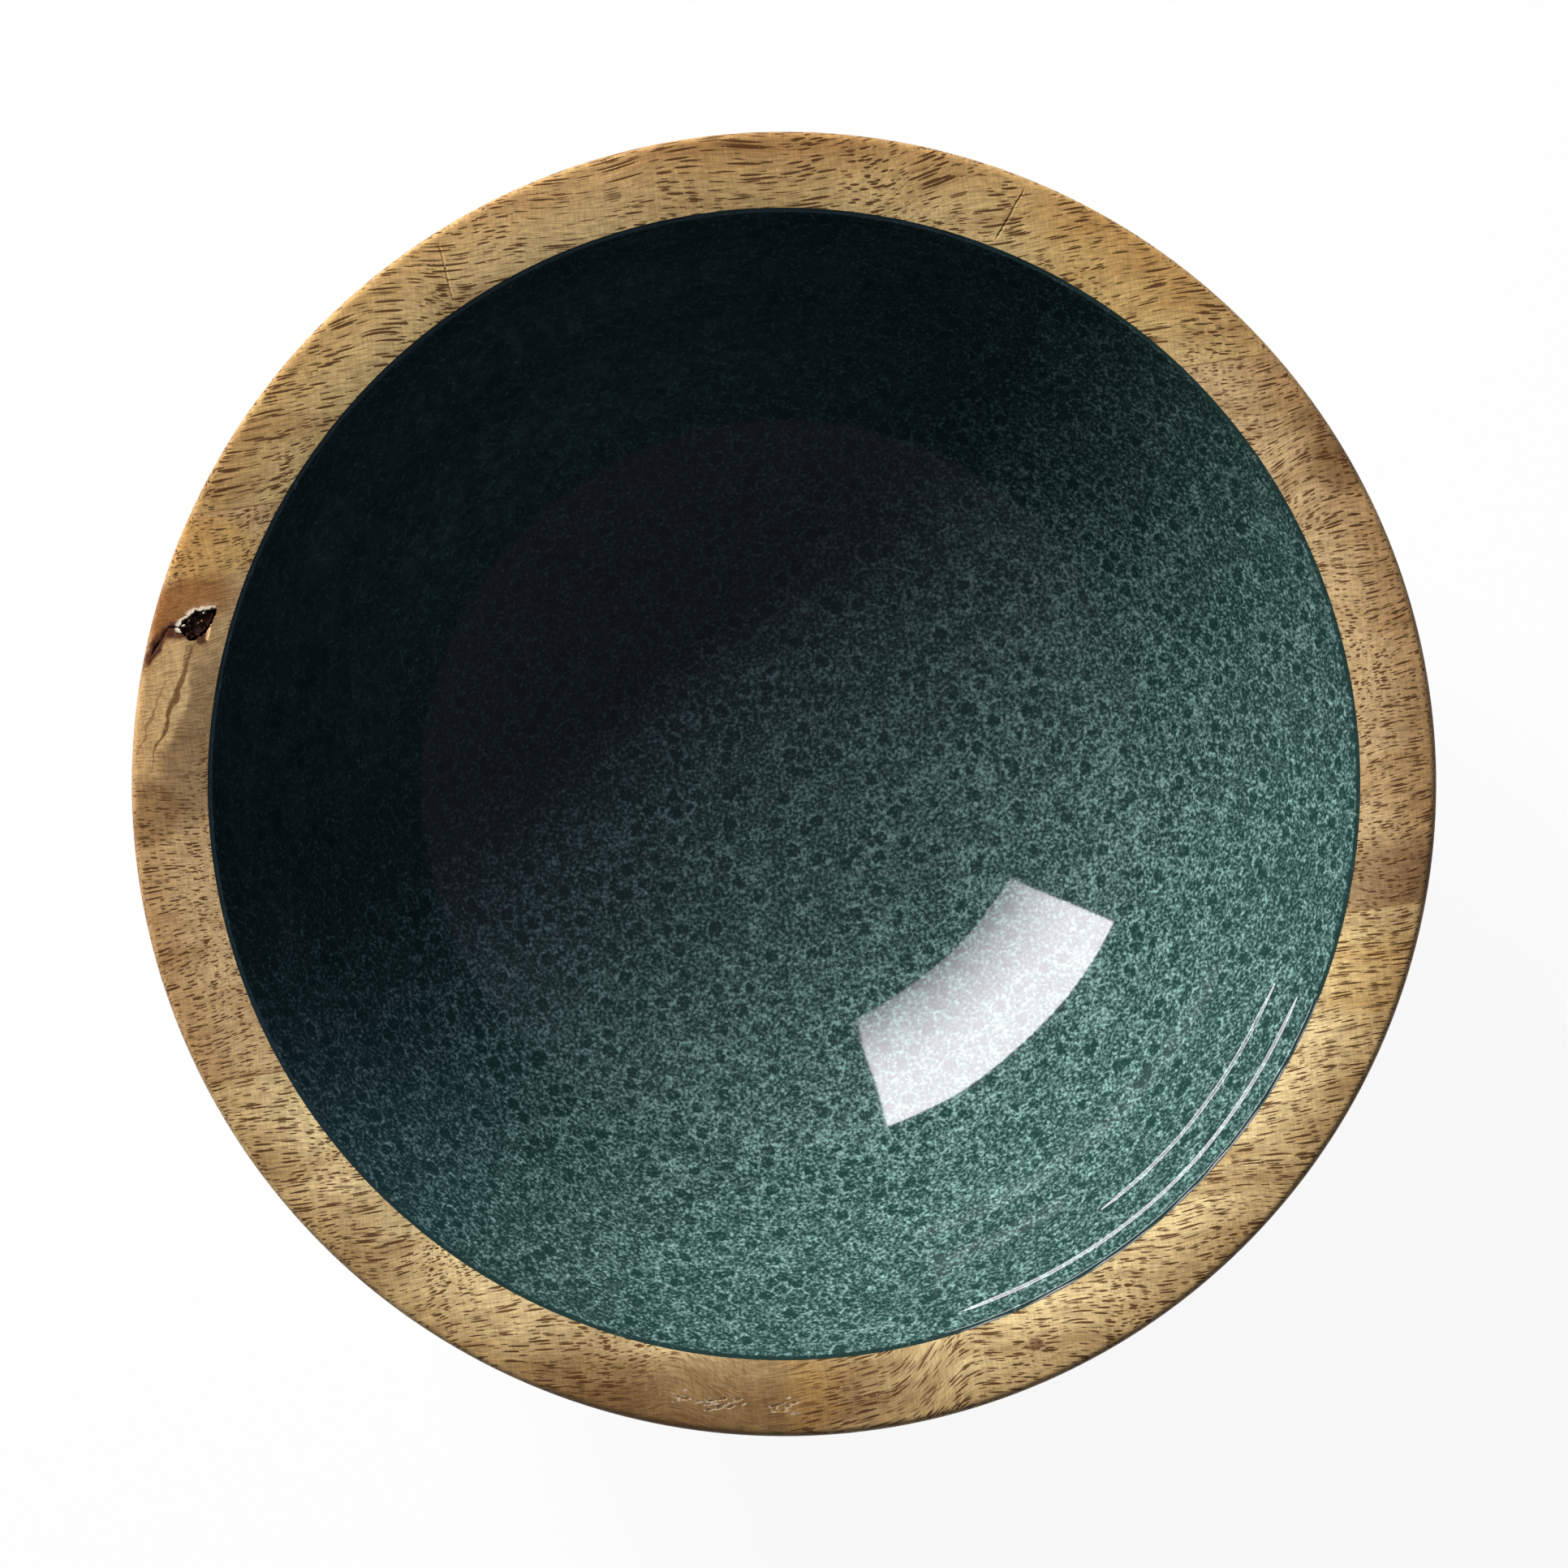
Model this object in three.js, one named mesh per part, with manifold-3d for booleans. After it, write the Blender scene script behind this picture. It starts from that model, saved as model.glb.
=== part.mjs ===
// A turned serving bowl: three edge-glued mango boards, hollowed and lined with two coats of enamel.
// Millimetres, +Z up. The origin is the middle of the base, and the boards run along X.
import * as THREE from "three";
import { mergeVertices } from "three/addons/utils/BufferGeometryUtils.js";
import Module from "manifold-3d";

// Overall form
const RIM_DIAMETER = 250;
const BOWL_HEIGHT = 84;
const BASE_DIAMETER = 100;

// The turned body
const RIM_WIDTH = 14.6; // wood seen from above, from the lining to the outside edge
const RIM_CROWN = 50; // radius of the rim's gentle crown
const CROWN_REACH = 10.5; // from the lining out to the crown's highest line
const RIM_ROUND = 1.5; // radius on the rim's outside edge
const FLOOR_THICKNESS = 14; // wood under the middle of the hollow
const HOLLOW_POWER = 3.3; // the hollow rises with this power of the radius: level floor, steep wall
const WALL_ANGLE = 64; // degrees from level, where the outside runs into the rim's round
const FOOT_ANGLE = 22; // degrees from level, where the outside leaves the base
const WALL_SWEEP = 0.33; // how long the outside keeps its wall angle, as a share of its chord
const FOOT_SWEEP = 0.3; // how long it keeps its foot angle
const RECESS_DIAMETER = 76; // turned recess under the base, which leaves a foot ring
const RECESS_DEPTH = 1.5;

// The boards, cut on planes of constant Y
const REAR_JOINT_Y = 67.7; // middle of the glue between the back and the middle board
const FRONT_JOINT_Y = -40.2; // middle of the glue between the middle and the front board
const GLUE_THICKNESS = 0.25;

// The lining, measured square to the hollow
const COAT_CLEARANCE = 0.2; // between the bare hollow and the ground coat
const GROUND_THICKNESS = 0.5;
const ENAMEL_THICKNESS = 0.9;

// The bark pocket in the rim of the middle board, a lens-shaped crevice
const POCKET_BEARING = 156.5; // degrees from +X, seen from above
const POCKET_EDGE_DISTANCE = 8.2; // from the rim's outside edge to the middle of the pocket
const POCKET_TURN = 28.5; // degrees from +X to the pocket's long way
const POCKET_LENGTH = 10;
const POCKET_WIDTH = 4;
const POCKET_DEPTH = 5;
const BARK_SINK = 1.2; // how far the bark lies below the highest line of the rim
const BARK_CLEARANCE = 0.3;

// Facets
const TURN_STEPS = 60;
const HOLLOW_STEPS = 14;
const OUTSIDE_STEPS = 12;
const SHOULDER_STEPS = 2; // on the rim's round, below the widest point
const ROUND_STEPS = 3; // on the rim's round, above it
const CROWN_STEPS = 4; // from the crown's highest line in to the lining
const LENS_STEPS = 8;
const CUT_MARGIN = 10; // how far a cutting solid stands clear of what it cuts

// Colours and roughness of the wood, glue, bark and enamel
const BACK_WOOD = "#ab8c5c";
const MIDDLE_WOOD = "#a48963";
const FRONT_WOOD = "#af9367";
const OILED_ROUGHNESS = 0.55;
const GLUE_BROWN = "#6e4c2d";
const GLUE_ROUGHNESS = 0.6;
const BARK_BROWN = "#4b3027";
const BARK_ROUGHNESS = 0.9;
const GROUND_BLACK = "#14181c";
const GROUND_ROUGHNESS = 0.5;
const ENAMEL_GREEN = "#34524f";
const ENAMEL_ROUGHNESS = 0.08;

// Sizes worked out from the ones above
const rimRadius = RIM_DIAMETER / 2;
const baseRadius = BASE_DIAMETER / 2;
const recessRadius = RECESS_DIAMETER / 2;
const hollowRadius = rimRadius - RIM_WIDTH;
const crownCentre = new THREE.Vector2(hollowRadius + CROWN_REACH, BOWL_HEIGHT - RIM_CROWN);
const lipHeight = crownCentre.y + Math.sqrt(RIM_CROWN ** 2 - CROWN_REACH ** 2); // the rim at the lining
const roundOut = RIM_WIDTH - RIM_ROUND - CROWN_REACH; // from the crown's middle out to the round's
const roundUp = Math.sqrt((RIM_CROWN - RIM_ROUND) ** 2 - roundOut ** 2); // and up to it
const roundCentre = new THREE.Vector2(crownCentre.x + roundOut, crownCentre.y + roundUp);
const hollowDepth = lipHeight - FLOOR_THICKNESS;
const rimSlope = (HOLLOW_POWER * hollowDepth) / hollowRadius;

const wasm = await Module();
wasm.setup();

// A closed geometry as a solid that can be cut and joined.
function solidOf(geometry) {
  const bare = geometry.clone();
  bare.deleteAttribute("normal");
  bare.deleteAttribute("uv");
  const merged = mergeVertices(bare);
  return new wasm.Manifold(
    new wasm.Mesh({
      numProp: 3,
      vertProperties: merged.attributes.position.array,
      triVerts: new Uint32Array(merged.index.array),
    }),
  );
}

// A cut solid as a geometry that a mesh can hold.
function geometryOf(solid) {
  const { vertProperties, triVerts } = solid.getMesh();
  const geometry = new THREE.BufferGeometry();
  geometry.setAttribute("position", new THREE.BufferAttribute(vertProperties, 3));
  geometry.setIndex(new THREE.BufferAttribute(triVerts, 1));
  geometry.computeVertexNormals();
  return geometry;
}

// A profile of radius and height, turned about the bowl's axis.
function turned(profile) {
  return new THREE.LatheGeometry(profile, TURN_STEPS).rotateX(Math.PI / 2);
}

// A unit step that climbs at an angle in degrees.
function climb(angle) {
  const radians = THREE.MathUtils.degToRad(angle);
  return new THREE.Vector2(Math.cos(radians), Math.sin(radians));
}

// The hollow's curve from the axis to the rim, moved in from the bare wood by a thickness.
function hollowCurve(thickness) {
  const points = [];
  for (let step = 0; step < HOLLOW_STEPS; step++) {
    const share = step / HOLLOW_STEPS;
    const slope = rimSlope * share ** (HOLLOW_POWER - 1);
    const slant = Math.hypot(1, slope);
    const radius = hollowRadius * share - (thickness * slope) / slant;
    const height = FLOOR_THICKNESS + hollowDepth * share ** HOLLOW_POWER + thickness / slant;
    points.push(new THREE.Vector2(radius, height));
  }
  const levelThickness = (thickness * Math.hypot(1, rimSlope)) / rimSlope;
  points.push(new THREE.Vector2(hollowRadius - levelThickness, lipHeight));
  return points;
}

// The recess and the foot ring, from the axis outwards.
function baseCurve() {
  return [
    new THREE.Vector2(0, RECESS_DEPTH),
    new THREE.Vector2(recessRadius - RECESS_DEPTH, RECESS_DEPTH),
    new THREE.Vector2(recessRadius, 0),
  ];
}

// The outside from the foot ring up to the rim's round, leaving and ending at its two angles.
function outsideCurve() {
  const foot = new THREE.Vector2(baseRadius, 0);
  const shoulder = roundCentre.clone().addScaledVector(climb(WALL_ANGLE - 90), RIM_ROUND);
  const chord = foot.distanceTo(shoulder);
  const footHandle = foot.clone().addScaledVector(climb(FOOT_ANGLE), FOOT_SWEEP * chord);
  const wallHandle = shoulder.clone().addScaledVector(climb(WALL_ANGLE), -WALL_SWEEP * chord);
  const wall = new THREE.CubicBezierCurve(foot, footHandle, wallHandle, shoulder);
  return wall.getPoints(OUTSIDE_STEPS);
}

// A stretch of a circle after its first point, on which the curve before it ends.
function arcFrom(centre, radius, from, to, steps) {
  const arc = new THREE.EllipseCurve(centre.x, centre.y, radius, radius, from, to);
  return arc.getPoints(steps).slice(1);
}

// The rim from the outside over its round and its crown, up to the edge of the hollow.
function rimCurve() {
  const shoulderAngle = THREE.MathUtils.degToRad(WALL_ANGLE - 90);
  const crownAngle = Math.atan2(roundUp, roundOut);
  const topAngle = Math.PI / 2;
  const lipAngle = Math.acos(-CROWN_REACH / RIM_CROWN);
  return [
    ...arcFrom(roundCentre, RIM_ROUND, shoulderAngle, 0, SHOULDER_STEPS),
    ...arcFrom(roundCentre, RIM_ROUND, 0, crownAngle, ROUND_STEPS),
    ...arcFrom(crownCentre, RIM_CROWN, crownAngle, topAngle, 1),
    ...arcFrom(crownCentre, RIM_CROWN, topAngle, lipAngle, CROWN_STEPS).slice(0, -1),
  ];
}

// The whole turned body, before it is seen as three boards.
function turnedBody() {
  const outside = [...baseCurve(), ...outsideCurve(), ...rimCurve()];
  return solidOf(turned([...outside, ...hollowCurve(0).reverse()]));
}

// A coat on the hollow: its outer side lies at one thickness, its inner side at another.
function coat(outer, inner) {
  return turned([...hollowCurve(outer), ...hollowCurve(inner).reverse()]);
}

// The slab that one film of glue takes out of the body.
function glueSlab(middleY) {
  const side = RIM_DIAMETER + 2 * CUT_MARGIN;
  const slab = new THREE.BoxGeometry(side, GLUE_THICKNESS, BOWL_HEIGHT + 2 * CUT_MARGIN);
  return solidOf(slab.translate(0, middleY, BOWL_HEIGHT / 2));
}

// An upright lens-shaped block over the pocket's place, between two heights.
function lensBlock(length, width, low, high) {
  const lens = new THREE.Shape();
  lens.moveTo(-length / 2, 0);
  lens.quadraticCurveTo(0, -width, length / 2, 0);
  lens.quadraticCurveTo(0, width, -length / 2, 0);
  const block = new THREE.ExtrudeGeometry(lens, {
    depth: high - low,
    bevelEnabled: false,
    curveSegments: LENS_STEPS,
  });
  const bearing = THREE.MathUtils.degToRad(POCKET_BEARING);
  const radius = rimRadius - POCKET_EDGE_DISTANCE;
  block.rotateZ(THREE.MathUtils.degToRad(POCKET_TURN));
  block.translate(radius * Math.cos(bearing), radius * Math.sin(bearing), low);
  return solidOf(block);
}

// The crevice that is cut into the rim.
function pocketCut() {
  const floor = BOWL_HEIGHT - POCKET_DEPTH;
  return lensBlock(POCKET_LENGTH, POCKET_WIDTH, floor, BOWL_HEIGHT + CUT_MARGIN);
}

// The bark in the crevice, clear of its walls and floor. Its narrow tips stand back further than its sides.
function barkSliver(body) {
  const tipClearance = BARK_CLEARANCE * Math.hypot(1, POCKET_LENGTH / (2 * POCKET_WIDTH));
  const length = POCKET_LENGTH - 2 * tipClearance;
  const width = POCKET_WIDTH - 2 * BARK_CLEARANCE;
  const floor = BOWL_HEIGHT - POCKET_DEPTH + BARK_CLEARANCE;
  return lensBlock(length, width, floor, BOWL_HEIGHT - BARK_SINK).intersect(body);
}

// The three boards, from front to back.
function boards(body, slabs) {
  const middleY = (board) => {
    const { min, max } = board.boundingBox();
    return (min[1] + max[1]) / 2;
  };
  const cut = slabs.reduce((rest, slab) => rest.subtract(slab), body);
  return cut.decompose().sort((one, other) => middleY(one) - middleY(other));
}

function addPiece(group, name, geometry, color, roughness) {
  const material = new THREE.MeshStandardMaterial({ color, roughness, metalness: 0 });
  const mesh = new THREE.Mesh(geometry, material);
  mesh.name = name;
  group.add(mesh);
}

function bowl() {
  const group = new THREE.Group();
  const body = turnedBody();
  const rearSlab = glueSlab(REAR_JOINT_Y);
  const frontSlab = glueSlab(FRONT_JOINT_Y);
  const [front, middle, back] = boards(body, [rearSlab, frontSlab]);
  const pocketed = middle.subtract(pocketCut());
  addPiece(group, "back_board", geometryOf(back), BACK_WOOD, OILED_ROUGHNESS);
  addPiece(group, "middle_board", geometryOf(pocketed), MIDDLE_WOOD, OILED_ROUGHNESS);
  addPiece(group, "front_board", geometryOf(front), FRONT_WOOD, OILED_ROUGHNESS);

  const rearGlue = body.intersect(rearSlab);
  const frontGlue = body.intersect(frontSlab);
  addPiece(group, "rear_glue_line", geometryOf(rearGlue), GLUE_BROWN, GLUE_ROUGHNESS);
  addPiece(group, "front_glue_line", geometryOf(frontGlue), GLUE_BROWN, GLUE_ROUGHNESS);
  addPiece(group, "bark_inclusion", geometryOf(barkSliver(body)), BARK_BROWN, BARK_ROUGHNESS);

  const groundTop = COAT_CLEARANCE + GROUND_THICKNESS;
  const enamelTop = groundTop + ENAMEL_THICKNESS;
  const ground = coat(COAT_CLEARANCE, groundTop);
  const enamel = coat(groundTop, enamelTop);
  addPiece(group, "ground_coat", ground, GROUND_BLACK, GROUND_ROUGHNESS);
  addPiece(group, "gloss_enamel", enamel, ENAMEL_GREEN, ENAMEL_ROUGHNESS);
  return group;
}

export default bowl();
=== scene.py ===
"""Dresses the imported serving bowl: turned mango boards, glue lines, bark, ground coat and gloss enamel."""

import math
from collections import namedtuple

import bmesh
import bpy
from bpy.props import FloatProperty, FloatVectorProperty, PointerProperty
from mathutils import Matrix, Vector, geometry, noise


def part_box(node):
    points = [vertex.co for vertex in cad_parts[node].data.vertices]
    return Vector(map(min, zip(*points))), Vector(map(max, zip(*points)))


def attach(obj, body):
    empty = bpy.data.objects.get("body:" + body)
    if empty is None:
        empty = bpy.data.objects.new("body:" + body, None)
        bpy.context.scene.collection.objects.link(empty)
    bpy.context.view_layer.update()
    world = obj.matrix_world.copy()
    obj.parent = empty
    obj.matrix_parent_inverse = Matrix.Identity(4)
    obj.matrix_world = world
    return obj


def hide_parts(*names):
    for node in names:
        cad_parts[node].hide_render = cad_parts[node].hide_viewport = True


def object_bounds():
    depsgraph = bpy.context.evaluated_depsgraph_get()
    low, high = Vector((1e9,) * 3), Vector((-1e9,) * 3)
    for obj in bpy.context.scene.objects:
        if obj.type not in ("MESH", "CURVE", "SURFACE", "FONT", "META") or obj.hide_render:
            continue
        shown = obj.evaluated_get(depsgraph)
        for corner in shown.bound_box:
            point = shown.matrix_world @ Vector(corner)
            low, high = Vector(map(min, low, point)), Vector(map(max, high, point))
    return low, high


bl_info = {
    "name": "Lined mango bowl",
    "version": (1, 0, 0),
    "blender": (4, 5, 0),
    "location": "3D View > Sidebar > Bowl",
    "description": "Turned boards, glue lines, bark, ground coat and speckled enamel round the packed bowl",
    "category": "Object",
}

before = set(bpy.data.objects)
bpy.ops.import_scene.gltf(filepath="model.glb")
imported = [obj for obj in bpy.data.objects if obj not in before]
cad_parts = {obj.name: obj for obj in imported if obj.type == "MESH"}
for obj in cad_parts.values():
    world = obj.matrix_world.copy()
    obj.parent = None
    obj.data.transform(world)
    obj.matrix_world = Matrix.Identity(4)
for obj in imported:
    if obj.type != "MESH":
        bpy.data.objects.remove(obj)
CAD_LOW, CAD_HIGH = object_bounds()

# Units and exactness
MM = 0.001
WELD = 1e-7  # points closer than this are one point
SHARP_ANGLE = math.radians(38)  # edges that fold more than this stay crisp

# The turned profile: shares and angles that no single length gives
HOLLOW_POWER = 3.3  # the hollow rises with this power of the radius
WALL_ANGLE = math.radians(64)  # from level, where the outside runs into the rim's round
FOOT_ANGLE = math.radians(22)  # from level, where the outside leaves the base
WALL_SWEEP = 0.33  # how long the outside keeps its wall angle, as a share of its chord
FOOT_SWEEP = 0.3  # how long it keeps its foot angle
LIP_START = 0.997  # share of the hollow at which the enamel turns over towards the rim
THIN_START = 0.88  # share of the hollow from which the coats thin out towards the rim
LIP_THINNING = 0.6  # share of their thickness that they have lost at the rim
LIP_ANGLE = math.radians(26)  # from level, where the enamel ends at the rim
POCKET_TURN = math.radians(28.5)  # the bark pocket's long axis, from +X
LIP_EASE = 0.6  # how long the enamel keeps the wall's slope, as a share of the lip's half length
LIP_ROLL = 1.3  # how long it keeps the lip angle before its edge, as the same share
LIP_WAVE = 0.6  # mm of the enamel that stray with its edge
LIP_WAVES = (4.0, 1.5)  # mm, sizes of the long and the short waves in the enamel's edge
RUN_WANDER = 0.5  # mm that a run line strays from its circle
RUN_WAVE = 40.0  # mm, size of that straying
RUN_ENDS = 8.0  # degrees over which a run line fades out at its ends

# The enamel's colour: distances in mm from the axis, distances in mm towards the lit side, and sizes in mm.
# Painted shade: on the side away from the light the enamel has fewer flecks and a darker blue tint
LIT_BEARING = math.radians(-45)  # the lit side of the lining; the opposite side is painted darker
FLECKS_FULL = 62.0  # from the axis: the flecks start to thin out, partly the enamel's own pattern and partly painted shade on the steep walls
FLECKS_FEW = 104.0  # from the axis: they are thinnest
LIP_PALE = 109.4  # from the axis: the lip starts to lose its flecks
LIP_DARK = 109.9  # from the axis: it has lost them
SHADED_FLECKS = -80.0  # towards the lit side: fewest flecks, painted shade
LIT_FLECKS = 60.0  # towards the lit side: most flecks
BLUE_SHADE_START = 30.0  # towards the lit side: the painted blue shade starts
BLUE_SHADE_FULL = -60.0  # towards the lit side: the painted blue shade is full
DROP_SPACING = 4.4
FLECK_SIZE = 0.68
CLOUD_SIZE = 5.0
RIPPLE_SIZE = 14.0

# The wood's colour: sizes in mm along and across the grain, and where the wood is painted darker: painted
# shade towards the rim's outer edge, where the crown falls away from the light, and the same darker tint on
# the outside
FIGURE_SIZE = (45.0, 6.0, 6.0)
FIBRE_SIZE = (4.0, 0.35, 0.35)
RAY_SIZE = (0.35, 2.6, 2.6)
WANDER_SIZE = 42.0
WANDER_REACH = (0.0, 7.0, 7.0)
FRAY_SIZE = 0.5
OUTER_SHADE_START = 111.0  # from the axis
OUTER_SHADE_FULL = 124.5
OUTER_SHADE_TOP = 82.4  # above the foot ring: the outside below here turns darker
OUTER_SHADE_BELOW = 80.0  # above the foot ring: it is fully darkened

# Flaws in the wood, in mm
FLAW_REACH = 1.5  # points further than this from a flaw stay
CHECK_STRAY = 0.25  # how far a check strays from its line
CHECK_WAVE = 2.5  # size of that straying
PIT_GRAIN = (1.7, 0.55)  # size of a pit along and across the board
PIT_DEPTH = 0.12
POCKET_RAGS = ((0.3, 1.4), (0.25, 0.5))  # how far the pocket's edge strays, and the size of that straying
BARK_CRUMB = 0.35  # how rough the bark's face is
BARK_WAVES = (1.2, 0.5)  # sizes of its large and small crumbs

# Fineness of the meshes
TURN_STEPS = 288
WALL_STEPS = 36
ROUND_STEPS = 6
CROWN_STEPS = 16
BARE_STEPS = 24  # on the bare hollow, which the coats hide
COAT_STEPS = 64
LIP_STEPS = 14
RIM_CROWDING = 0.7  # less than 1 puts the hollow's points closer together towards the rim
FLAW_FINENESS = 0.22  # mm between points at a flaw in the wood
RUN_FINENESS = 0.1  # mm between points at a run line

# The vessels of a board: cell length and width in mm, dash size as a share of its cell, share kept, strength
Vessels = namedtuple("Vessels", "length width size kept strength")

# A patch of another tone in the wood: middle and half sizes in mm, turn in degrees, how much of it fades
# out at its edge, tone and strength
Patch = namedtuple("Patch", "x y along across turn soft tone strength")

# A calm place in the wood, where the vessels are too fine to see: its ellipse, as for a patch
Calm = namedtuple("Calm", "x y along across turn soft")

# A bend in the grain: its ellipse, as for a patch, and how far its fibres are pushed across the board in mm
Bend = namedtuple("Bend", "x y along across turn soft push")

# A check, which is a crack in the rim: its two ends, half its width and its depth in mm
Check = namedtuple("Check", "x0 y0 x1 y1 width depth")

# A cluster of small torn pits in the rim: middle and half sizes in mm
Pits = namedtuple("Pits", "x y along across")

# What one board has of its own
Board = namedtuple("Board", "tone bold fine bends calms patches")

BACK_BOARD = Board(
    "back_wood",
    Vessels(12, 0.54, 0.4, 0.45, 0.95),
    Vessels(5, 0.38, 0.38, 0.4, 0.85),
    (Bend(22, 110, 22, 18, 0, 0.9, 3), Bend(70, 92, 20, 16, 0, 0.9, 2)),
    (),
    (
        Patch(77, 89, 18, 9, -41, 0.9, "gold", 0.45),
        Patch(4, 118, 45, 8, 0, 0.9, "russet", 0.3),
        Patch(-30, 114, 24, 10, 15, 0.9, "sap", 0.5),
        Patch(-96, 72, 8, 6, 40, 0.9, "umber", 0.3),
    ),
)
MIDDLE_BOARD = Board(
    "middle_wood",
    Vessels(4.5, 0.46, 0.4, 0.42, 0.95),
    Vessels(1.7, 0.36, 0.38, 0.45, 0.85),
    (Bend(-112, 30, 16, 14, 0, 0.9, 3), Bend(114, 45, 12, 10, 0, 0.9, -3)),
    (Calm(-112, 33, 19, 8.5, 64, 0.5), Calm(-107, 50, 12, 5.5, 20, 0.6)),
    (
        Patch(113, -34.5, 15, 6.5, 0, 0.9, "ash", 0.7),
        Patch(117, -4, 10, 7, 0, 0.9, "ash", 0.2),
        Patch(113.2, 48.5, 5, 3, 0, 0.9, "umber", 0.6),
        Patch(114, 43.6, 5, 4, 0, 0.9, "umber", 0.55),
        Patch(110.1, 53.7, 4, 2.5, 0, 0.9, "umber", 0.5),
        Patch(-102.5, 60.5, 10, 6, 0, 0.6, "gold", 0.6),
        Patch(-108.5, 50.5, 10, 5, 15, 0.6, "russet", 0.85),
        Patch(-109.5, 25, 16, 6.5, 70, 0.5, "ash", 0.72),
        Patch(-120, 12, 6, 4.5, 70, 0.4, "umber", 0.5),
        Patch(-115.6, 33, 13.5, 4.4, 64, 0.3, "sap", 0.85),
        Patch(-112.4, 34, 11, 0.45, 62, 0.7, "umber", 0.9),
        Patch(-113.8, 32, 12, 0.35, 64, 0.7, "umber", 0.75),
        Patch(-118, 30, 9, 0.25, 62, 0.7, "umber", 0.5),
        Patch(-105.9, 45, 1.9, 1.2, 70, 0.6, "maroon", 0.9),
        Patch(-109.6, 46.2, 3.6, 1.4, -8, 0.6, "maroon", 0.9),
        Patch(-115.2, 43.4, 4.4, 1.1, 50, 0.7, "maroon", 0.9),
    ),
)
FRONT_BOARD = Board(
    "front_wood",
    Vessels(6, 0.47, 0.4, 0.5, 0.95),
    Vessels(2.6, 0.36, 0.38, 0.5, 0.85),
    (Bend(-10, -118, 22, 24, 0, 0.9, 10),),
    (Calm(-30, -115, 18, 10, 0, 0.8),),
    (
        Patch(-28, -115, 34, 10, 0, 0.9, "umber", 0.75),
        Patch(-91, -75, 11, 9, 40, 0.9, "umber", 0.35),
        Patch(-53, -105, 13, 10, -26, 0.9, "umber", 0.5),
        Patch(-12, -116.9, 5, 9, -10, 1.2, "gold", 0.3),
        Patch(32, -113, 1.6, 1.3, 0, 0.8, "maroon", 0.6),
        Patch(105, -53, 9, 8, 0, 0.9, "gold", 0.4),
    ),
)
BACK_CHECKS = (Check(-48.95, 100.2, -50.1, 112.8, 0.3, 0.14), Check(55.4, 96.7, 62.7, 106.2, 0.3, 0.14))
MIDDLE_CHECKS = (Check(-106, 46.2, -112.4, 46.9, 0.45, 0.4), Check(-111.8, 47, -118, 40.4, 0.4, 0.35))
PITS = (Pits(-29.2, -115.4, 5, 1.6), Pits(-17.8, -117.8, 2.6, 1.6), Pits(-36.9, -113.2, 2, 1.4))

# A line in the enamel where a poured coat ended: radius, height, rise and fall in mm, and its bearings
RunLine = namedtuple("RunLine", "radius height rise fall start end")
RUN_LINES = (
    RunLine(102.9, 0.5, 8, 0.46, -66, -27),
    RunLine(107.1, 0.5, 8, 0.42, -84, -27),
)


def linear(code):
    """A linear colour from an sRGB hex value."""
    parts = [int(code[i : i + 2], 16) / 255 for i in (1, 3, 5)]
    return tuple(p / 12.92 if p <= 0.04045 else ((p + 0.055) / 1.055) ** 2.4 for p in parts)


def length(name, description, millimetres):
    """A property for a length, written in millimetres."""
    return FloatProperty(
        name=name,
        description=description,
        default=millimetres * MM,
        precision=5,
        subtype="DISTANCE",
        unit="LENGTH",
    )


def colour(name, description, code):
    """A property for a colour, written as sRGB hex."""
    return FloatVectorProperty(
        name=name, description=description, default=linear(code), min=0, max=1, subtype="COLOR"
    )


def node_middle(node):
    """The middle of a CAD node's box, in millimetres."""
    low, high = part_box(node)
    return (low + high) / 2 / MM


class BowlSizes(bpy.types.PropertyGroup):
    """Sizes of the bowl: those that the solids have, and those of the fine detail added here."""

    rim_diameter: length("Rim diameter", "Across the outside of the rim", (CAD_HIGH.x - CAD_LOW.x) / MM)
    height: length("Height", "From the foot ring to the rim's crown", (CAD_HIGH.z - CAD_LOW.z) / MM)
    base_diameter: length("Base diameter", "Across the foot ring", 100)
    rim_width: length("Rim width", "Wood from the lining to the outside edge", 14.6)
    crown_radius: length("Crown radius", "Radius of the rim's crown", 50)
    crown_reach: length("Crown reach", "From the lining out to the crown's highest line", 10.5)
    rim_round: length("Rim round", "Radius on the rim's outside edge", 1.5)
    floor_thickness: length("Floor", "Wood under the middle of the hollow", 14)
    recess_diameter: length("Recess diameter", "Across the recess under the base", 76)
    recess_depth: length("Recess depth", "Depth of the recess under the base", 1.5)
    rear_joint: length("Rear joint", "Y of the rear glue line", node_middle("rear_glue_line").y)
    front_joint: length("Front joint", "Y of the front glue line", node_middle("front_glue_line").y)
    glue_thickness: length("Glue", "Thickness of a film of glue", 0.25)
    ground_start: length("Ground start", "Gap between bare wood and ground coat", 0.05)
    enamel_start: length("Enamel start", "From bare wood to the back of the enamel", 0.7)
    enamel_thickness: length("Enamel", "Thickness of the enamel", 0.9)
    lip_gap: length("Lip gap", "Mean width of the ground coat seen at the enamel's edge", 0.06)
    lip_wander: length("Lip wander", "How far the enamel's edge strays from its mean", 0.2)
    pocket_x: length("Pocket X", "X of the bark pocket", node_middle("bark_inclusion").x)
    pocket_y: length("Pocket Y", "Y of the bark pocket", node_middle("bark_inclusion").y)
    pocket_length: length("Pocket length", "Length of the bark pocket", 10)
    pocket_width: length("Pocket width", "Width of the bark pocket", 4)
    pocket_depth: length("Pocket depth", "Depth of the bark pocket", 5)
    bark_sink: length("Bark sink", "How far the bark lies below the rim", 1.2)
    bark_clearance: length("Bark clearance", "Gap round the bark", 0.3)
    bark_reach: length("Bark reach", "From the pocket's middle to the outer end of the open bark", 2.4)
    torn_height: length("Torn height", "How far torn fibres stand up from the rim", 0.12)


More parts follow.
